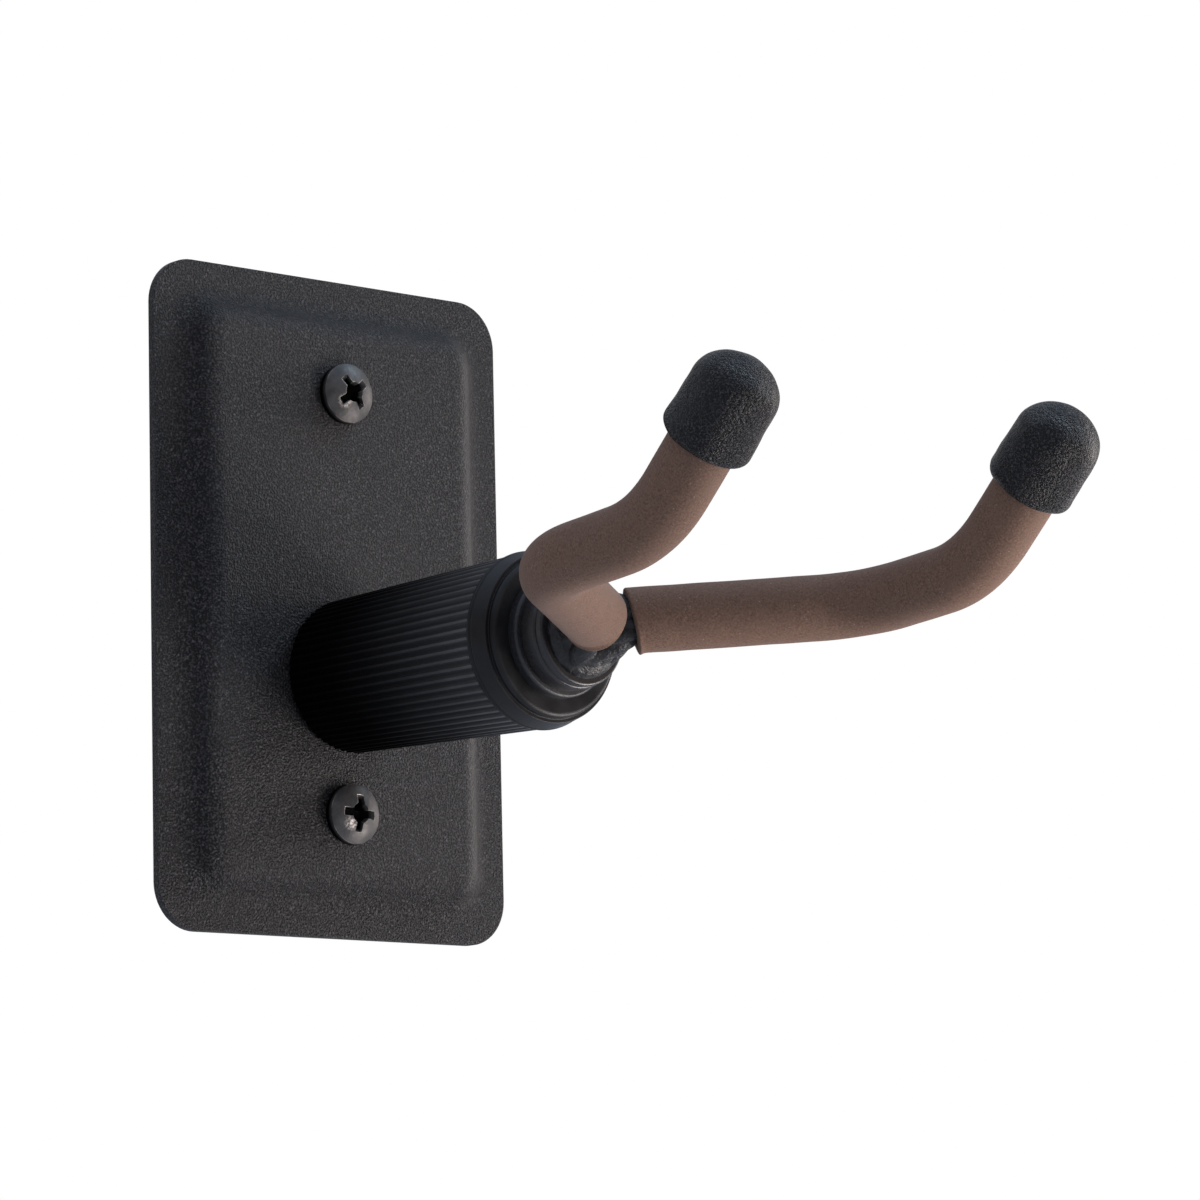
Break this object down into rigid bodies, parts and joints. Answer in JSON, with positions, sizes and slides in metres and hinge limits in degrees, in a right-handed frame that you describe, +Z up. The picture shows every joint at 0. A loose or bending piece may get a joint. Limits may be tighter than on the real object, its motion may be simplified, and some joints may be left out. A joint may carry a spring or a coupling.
{
  "type": "wall guitar hanger",
  "caption": "Wall hanger with a pressed steel plate, a ribbed hub and a rubber-covered fork that swivels and carries a guitar by its headstock.",
  "frame": {"origin": "centre of the wall plate's back, on the wall plane, halfway between the two wall screws", "axes": "+Z up, +X to the right as seen from the room, +Y into the wall; the fork stands out along -Y"},
  "size_m": [0.085, 0.1822, 0.1166],
  "materials": {
    "plate": "textured black powder coat",
    "screw": "black phosphate, worn bright at the recess",
    "barrel": "black with fine ribs",
    "collar": "smooth black",
    "nylon": "dark grey nylon",
    "steel": "zinc plated",
    "fork_steel": "gloss black",
    "tubing": "matt taupe brown",
    "cap": "pebbled black",
    "insert": "natural nylon"
  },
  "bodies": {
    "wall_base": {"wall_plate": "plate", "wall_screw_upper": "screw", "wall_screw_lower": "screw", "hub_barrel": "barrel", "hub_collar": "collar", "front_bushing": "nylon", "rear_bushing": "nylon", "core_tube": "steel", "rear_washer": "steel"},
    "fork": {"thrust_washer": "fork_steel", "pivot_pin": "fork_steel", "weld_bead": "fork_steel", "arm_rod_left": "fork_steel", "arm_rod_right": "fork_steel", "arm_tube_left": "tubing", "arm_tube_right": "tubing", "tip_cap_left": "cap", "tip_cap_right": "cap", "disc_spring": "steel", "lock_nut": "steel", "nut_insert": "insert"}
  },
  "joints": [
    {"name": "fork_swivel", "type": "hinge", "parent": "wall_base", "child": "fork", "pos_m": [0, -0.0611, -0.013], "axis": [0, -1, 0], "continuous": true}
  ]
}
